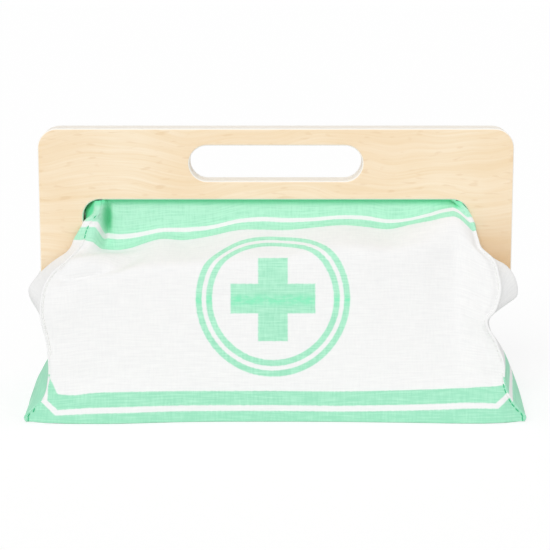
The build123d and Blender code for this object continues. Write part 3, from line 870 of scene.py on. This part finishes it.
def birch_plywood():
    """Sanded birch plywood under a fine coat of matt lacquer: pale faces with long wavy figure and small
    flecks, and edges that show the plies as fine lines."""
    material, tree, surface = new_material(
        "birch_plywood", Roughness=0.42, IOR=1.5, Specular_IOR_Level=0.35, Coat_Weight=0.08,
        Coat_Roughness=0.3
    )
    place = add_node(tree, "TexCoord")
    spot = place.outputs["Object"]
    face, fibre = plywood_face(tree, spot)
    # seven plies of about 1.3 mm, every second one end grain
    plate, plies, half_gap = 9.0 * MM, 7, 0.45 * MM
    depth = add_node(tree, "SeparateXYZ", {0: spot})
    depth = add_node(tree, "Math", {0: depth.outputs["Y"]}, operation="ABSOLUTE")
    depth = add_node(tree, "Math", {0: depth, 1: half_gap}, operation="SUBTRACT")
    ply = add_node(tree, "Math", {0: depth, 1: plies / 2 / plate}, operation="MULTIPLY")
    ply = add_node(tree, "Math", {0: ply}, operation="FRACT")
    ply = add_node(tree, "MapRange", {"Value": ply, "From Min": 0.46, "From Max": 0.54})
    edge = add_node(tree, "Mix", {0: ply, 6: linear("#FCF8F1"), 7: linear("#F3EAD9")}, data_type="RGBA")
    facing = add_node(tree, "SeparateXYZ", {0: place.outputs["Normal"]})
    front = add_node(tree, "Math", {0: facing.outputs["Y"]}, operation="ABSOLUTE")
    front = add_node(tree, "MapRange", {"Value": front, "From Min": 0.75, "From Max": 0.95})
    colour = add_node(tree, "Mix", {0: front, 6: edge.outputs[2], 7: face.outputs[2]}, data_type="RGBA")
    return finished(material, tree, surface, colour, fibre, 0.12, 0.1 * MM)


def beech():
    """Planed beech strip, unfinished: pinkish brown with short dark flecks along the grain."""
    material, tree, surface = new_material("beech", Roughness=0.6, IOR=1.5, Specular_IOR_Level=0.3)
    spot = add_node(tree, "TexCoord").outputs["Object"]
    grain = streaks(tree, spot, (0.08, 1.0, 1.0), 700.0, 3.0)
    fleck = add_node(tree, "MapRange", {
        "Value": streaks(tree, spot, (0.3, 1.0, 1.0), 1100.0, 0.0), "From Min": 0.6, "From Max": 0.7,
        "To Max": 0.5,
    })
    colour = add_node(tree, "Mix", {0: grain, 6: linear("#D9B088"), 7: linear("#EBCBA6")}, data_type="RGBA")
    colour = add_node(tree, "Mix", {0: fleck, 6: colour.outputs[2], 7: linear("#B78458")}, data_type="RGBA")
    return finished(material, tree, surface, colour, grain, 0.15, 0.1 * MM)


def greyboard():
    """Recycled greyboard: soft grey-brown pulp with pale and dark fibres, quite matt."""
    material, tree, surface = new_material("greyboard", Roughness=0.92, Specular_IOR_Level=0.15)
    spot = add_node(tree, "TexCoord").outputs["Object"]
    pulp, fibre = (
        add_node(tree, "TexNoise", {"Vector": spot, "Scale": scale, "Detail": detail}).outputs["Fac"]
        for scale, detail in ((260.0, 4.0), (1400.0, 1.0))
    )
    tone = add_node(tree, "MapRange", {"Value": pulp, "From Min": 0.3, "From Max": 0.7})
    speck = add_node(tree, "MapRange", {"Value": fibre, "From Min": 0.62, "From Max": 0.74, "To Max": 0.6})
    colour = add_node(tree, "Mix", {0: tone, 6: linear("#A69E92"), 7: linear("#BDB5A8")}, data_type="RGBA")
    colour = add_node(tree, "Mix", {0: speck, 6: colour.outputs[2], 7: linear("#7C746A")}, data_type="RGBA")
    return finished(material, tree, surface, colour, pulp, 0.3, 0.2 * MM)


def zinc_plated_steel():
    """Bright zinc plating on a small screw: cool grey metal, a little cloudy from the bath."""
    material, tree, surface = new_material("zinc_plated_steel", Metallic=1.0)
    spot = add_node(tree, "TexCoord").outputs["Object"]
    bloom = add_node(tree, "TexNoise", {"Vector": spot, "Scale": 900.0, "Detail": 2.0}).outputs["Fac"]
    colour = add_node(tree, "Mix", {0: bloom, 6: linear("#B4B8BC"), 7: linear("#D3D6D8")}, data_type="RGBA")
    rough = add_node(tree, "MapRange", {"Value": bloom, "To Min": 0.22, "To Max": 0.42})
    tree.links.new(colour.outputs[2], surface.inputs["Base Color"])
    tree.links.new(rough.outputs[0], surface.inputs["Roughness"])
    return material


# Each cotton: its darker and paler green (mixed by the yarn and, as painted light, by the height up
# the cloth), white on finer and thicker yarn, and how much of the print shows
COTTONS = {
    "printed_cotton": (("#9DE1C0", "#BAF2D5"), ("#EDEDED", "#F5F5F4"), 1.0),
    "printed_cotton_reverse": (("#9ADFBB", "#B4EFD0"), ("#EDEDEA", "#F4F4F2"), 0.8),
    # the thread's colours follow the print but darker: painted shade of the sunk seam
    "thread_with_painted_seam_shade": (("#46BE8A", "#5CCB9A"), ("#E9EAE7", "#F2F3F0"), 1.0),
}
MAKERS = {
    "birch_plywood": birch_plywood, "beech_batten": beech, "greyboard": greyboard,
    "zinc_plated_steel": zinc_plated_steel,
}
MATERIALS = {}


def material_for(finish):
    """The material of a finish, made once."""
    if finish not in MATERIALS:
        cotton = finish in COTTONS
        MATERIALS[finish] = printed_cotton(finish, *COTTONS[finish]) if cotton else MAKERS[finish]()
    return MATERIALS[finish]


def dress(node, finish):
    """Gives a CAD node its finish."""
    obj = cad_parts[node]
    obj.data.materials.clear()
    obj.data.materials.append(material_for(finish))


# ------------------------------------------------------------------ settings
class CaseSizes(bpy.types.PropertyGroup):
    """Sizes that a maker may change."""

    cloth_thickness: FloatProperty(
        name="Cloth thickness", description="Thickness of the bag's canvas",
        default=0.8 * MM, min=0.2 * MM, max=2 * MM, unit="LENGTH", precision=4)


class StageSettings(bpy.types.PropertyGroup):
    """Camera, floor and lights."""

    camera_distance: FloatProperty(
        name="Camera distance", description="From the camera to the point that it looks at",
        default=1.09, min=0.3, max=5.0, unit="LENGTH")
    camera_elevation: FloatProperty(
        name="Camera elevation", description="Angle of the view above the floor",
        default=math.radians(10.7), min=0, max=math.radians(80), subtype="ANGLE")
    aim_height: FloatProperty(
        name="Aim height", description="Height of the point that the camera looks at",
        default=0.076, min=0, max=0.3, unit="LENGTH")
    aim_side: FloatProperty(
        name="Aim to the side", description="X of the point that the camera looks at",
        default=-0.0005, unit="LENGTH", precision=4)
    lens: FloatProperty(
        name="Lens", description="Focal length on a 36 mm sensor", default=118.9, min=20, max=300)
    world_light: FloatProperty(
        name="Room light", description="Strength of the even light from all sides",
        default=0.62, min=0, max=3)
    key_light: FloatProperty(
        name="Key light", description="Strength of the broad light above the front",
        default=1.3, min=0, max=20)
    floor_colour: FloatVectorProperty(
        name="Floor", description="Colour of the floor and backdrop", default=(0.9, 0.9, 0.9), size=3,
        min=0, max=1, subtype="COLOR")


# ------------------------------------------------------------------ operators
class CASE_OT_handles(bpy.types.Operator):
    """Finish the two handle plates, the battens and their screws"""

    bl_idname = "case.handles"
    bl_label = "Handle plates"

    def execute(self, context):
        for side in ("front", "rear"):
            dress(f"{side}_handle_plate", "birch_plywood")
            dress(f"{side}_batten", "beech_batten")
            dress(f"{side}_batten_screws", "zinc_plated_steel")
        return {"FINISHED"}


class CASE_OT_seams(bpy.types.Operator):
    """Make the four side seams, each a small roll with a row of stitches"""

    bl_idname = "case.seams"
    bl_label = "Side seams"

    def execute(self, context):
        thickness = context.scene.case_sizes.cloth_thickness / MM
        for side in ("left", "right"):
            line, across, up, sections, roll_plan = seam_roll(side)
            spots, along, out, thread_plan = seam_stitches(side, thickness)
            for body in ("front", "rear"):
                piece = swept(
                    f"{body}_{side}_side_seam_roll", placed(body, line), placed(body, across),
                    placed(body, up), sections, roll_plan, "printed_cotton")
                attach(piece, body)
                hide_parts(f"{body}_{side}_side_seam")
                thread = stitch_row(
                    f"{body}_{side}_side_stitches", placed(body, spots), placed(body, along),
                    placed(body, out), thread_plan, "thread_with_painted_seam_shade")
                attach(thread, body)
        return {"FINISHED"}


class CASE_OT_hems(bpy.types.Operator):
    """Make the folded upper hems that the battens clamp"""

    bl_idname = "case.hems"
    bl_label = "Hems"

    def execute(self, context):
        x = np.linspace(-HEM_END, HEM_END, 41)
        line, across, up = (
            np.stack([along, np.full_like(x, y), np.full_like(x, z)], axis=-1)
            for along, y, z in ((x, *HEM_PLACE), (0 * x, 0, 1), (0 * x, -1, 0))
        )
        plan = np.stack([x, np.full_like(x, HEM_S)], axis=-1)
        for body in ("front", "rear"):
            piece = swept(
                f"{body}_hem_fold", placed(body, line), placed(body, across), placed(body, up),
                strip_section(*HEM_FOLD), plan, "printed_cotton_reverse")
            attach(piece, body)
            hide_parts(f"{body}_hem")
        return {"FINISHED"}


class CASE_OT_walls(bpy.types.Operator):
    """Make the front and rear walls of the bag"""

    bl_idname = "case.walls"
    bl_label = "Front and rear walls"

    def execute(self, context):
        points, u, s = wall_grid()
        for side in ("front", "rear"):
            wall = cloth_object(
                f"{side}_wall_cloth", placed(side, points), (u, printed_at(u, s)), flip=(side == "rear"))
            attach(wall, side)
            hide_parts(f"{side}_panel")
        return {"FINISHED"}


class CASE_OT_side_walls(bpy.types.Operator):
    """Make the folded side walls of the bag, in halves"""

    bl_idname = "case.side_walls"
    bl_label = "Side walls"

    def execute(self, context):
        for body in ("front", "rear"):
            for side in ("left", "right"):
                points, w, s = side_half(body, side)
                plan = (SIDE_U + w) * SIGN[side], printed_on_side(side, w, s)
                split = int(np.searchsorted(s[0], SPLIT_S))
                for part, rows in (("lower", slice(0, split + 1)), ("upper", slice(split, None))):
                    piece = cloth_object(
                        f"{body}_{side}_side_{part}", points[:, rows], [p[:, rows] for p in plan],
                        flip=(side == "left") == (body == "front"))
                    self.join_to_base(piece, body, part)
                    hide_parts(f"{body}_{side}_gusset")
        return {"FINISHED"}

    @staticmethod
    def join_to_base(piece, body, part):
        """Bakes the piece's place into its mesh."""
        if part == "upper":
            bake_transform(piece)
            return
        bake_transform(piece)


class CASE_OT_base(bpy.types.Operator):
    """Make the bottom cloth and finish the board inside"""

    bl_idname = "case.base"
    bl_label = "Base"

    def execute(self, context):
        dress("base_board", "greyboard")
        points = base_grid()
        seams = [self.turned_in(*row) for row in base_seams(points)]
        cloth = cloth_object(
            "bottom_cloth", points, (points[..., 0], points[..., 1] + BASE_S), flip=True)
        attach(cloth, "base")
        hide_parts("bottom_panel")
        return {"FINISHED"}

    @staticmethod
    def turned_in(side, line, across, up):
        """The seam allowance of one side of the bottom, turned in and lying on the bottom cloth."""
        piece = swept(
            f"{side}_base_seam_fold", line, across, up, strip_section(*BASE_SEAM),
            line[:, :2] + (0, BASE_S), "printed_cotton_reverse")
        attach(piece, "base")
        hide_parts(f"{side}_base_seam")
        return piece


class CASE_OT_stage(bpy.types.Operator):
    """Make the floor, the lights and the camera"""

    bl_idname = "case.stage"
    bl_label = "Stage"

    def execute(self, context):
        stage = context.scene.case_stage
        self.floor(stage)
        self.lights(context, stage)
        self.camera(context, stage)
        return {"FINISHED"}

    @staticmethod
    def seen_plainly(tree):
        """1 for rays that see the plain backdrop: from the camera, off a gloss or through glass."""
        seen = add_node(tree, "LightPath").outputs
        clear = add_node(tree, "Math", {
            0: seen["Is Camera Ray"], 1: seen["Is Glossy Ray"]}, operation="MAXIMUM")
        return add_node(tree, "Math", {0: clear, 1: seen["Is Transmission Ray"]}, operation="MAXIMUM")

    @classmethod
    def floor(cls, stage):
        deselect_all()
        bpy.ops.mesh.primitive_plane_add(size=12.0, location=(0, 0, 0))
        floor = bpy.context.active_object
        floor.name = floor.data.name = "studio_floor"
        material, tree, surface = new_material("matt_white_paper", Roughness=1.0, Specular_IOR_Level=0.0)
        surface.inputs["Base Color"].default_value = list(stage.floor_colour) + [1.0]
        # seen plainly, the paper has a glow and a share of shadow that add up to white
        glow = add_node(tree, "Emission", {"Color": (1, 1, 1, 1), "Strength": 0.68})
        shade = add_node(tree, "BsdfDiffuse", {"Color": (0.36, 0.36, 0.36, 1)})
        shown = add_node(tree, "AddShader", {0: shade, 1: glow})
        pick = add_node(tree, "MixShader", {0: cls.seen_plainly(tree), 1: surface, 2: shown})
        output = next(n for n in tree.nodes if n.type == "OUTPUT_MATERIAL")
        tree.links.new(pick.outputs[0], output.inputs["Surface"])
        floor.data.materials.append(material)

    @classmethod
    def lights(cls, context, stage):
        world = bpy.data.worlds.new("studio_room")
        context.scene.world = world
        world.use_nodes = True
        tree = world.node_tree
        tree.nodes.clear()
        room, white = (
            add_node(tree, "Background", {"Color": (1, 1, 1, 1), "Strength": strength})
            for strength in (stage.world_light, 1.0)
        )
        pick = add_node(tree, "MixShader", {0: cls.seen_plainly(tree), 1: room, 2: white})
        add_node(tree, "OutputWorld", {"Surface": pick})
        # a broad soft light from above the front, a little to the left
        place = Vector((-0.22, -1.0, 0.8))
        deselect_all()
        bpy.ops.object.light_add(type="SUN", location=place)
        key = bpy.context.active_object
        key.name = key.data.name = "key_lamp"
        key.data.angle = math.radians(35)
        key.data.energy = stage.key_light
        key.rotation_euler = (-place).to_track_quat("-Z", "Y").to_euler()

    @staticmethod
    def camera(context, stage):
        rise, distance = stage.camera_elevation, stage.camera_distance
        aim = Vector((stage.aim_side, 0, stage.aim_height))
        place = aim + Vector((0, -math.cos(rise), math.sin(rise))) * distance
        deselect_all()
        bpy.ops.object.camera_add(location=place, rotation=(math.pi / 2 - rise, 0, 0))
        camera = bpy.context.active_object
        camera.name = camera.data.name = "case_camera"
        camera.data.lens = stage.lens
        camera.data.sensor_width = 36.0
        camera.data.clip_start = 0.01
        context.scene.camera = camera
        context.scene.view_settings.view_transform = "Standard"


OPERATORS = (
    CASE_OT_stage, CASE_OT_handles, CASE_OT_seams, CASE_OT_hems, CASE_OT_walls, CASE_OT_side_walls,
    CASE_OT_base,
)


class CASE_PT_sidebar(bpy.types.Panel):
    """The case's sizes, stage and makers"""

    bl_idname = "CASE_PT_sidebar"
    bl_label = "Doctor case"
    bl_space_type = "VIEW_3D"
    bl_region_type = "UI"
    bl_category = "Doctor case"

    def draw(self, context):
        for group in (context.scene.case_sizes, context.scene.case_stage):
            for name in group.__annotations__:
                self.layout.prop(group, name)
        for operator in OPERATORS:
            self.layout.operator(operator.bl_idname)


CLASSES = (CaseSizes, StageSettings, *OPERATORS, CASE_PT_sidebar)


def register():
    for cls in CLASSES:
        bpy.utils.register_class(cls)
    bpy.types.Scene.case_sizes = PointerProperty(type=CaseSizes)
    bpy.types.Scene.case_stage = PointerProperty(type=StageSettings)


def unregister():
    del bpy.types.Scene.case_sizes
    del bpy.types.Scene.case_stage
    for cls in reversed(CLASSES):
        bpy.utils.unregister_class(cls)


def main():
    register()
    for operator in OPERATORS:
        group, name = operator.bl_idname.split(".")
        getattr(getattr(bpy.ops, group), name)()


if __name__ == "__main__":
    main()
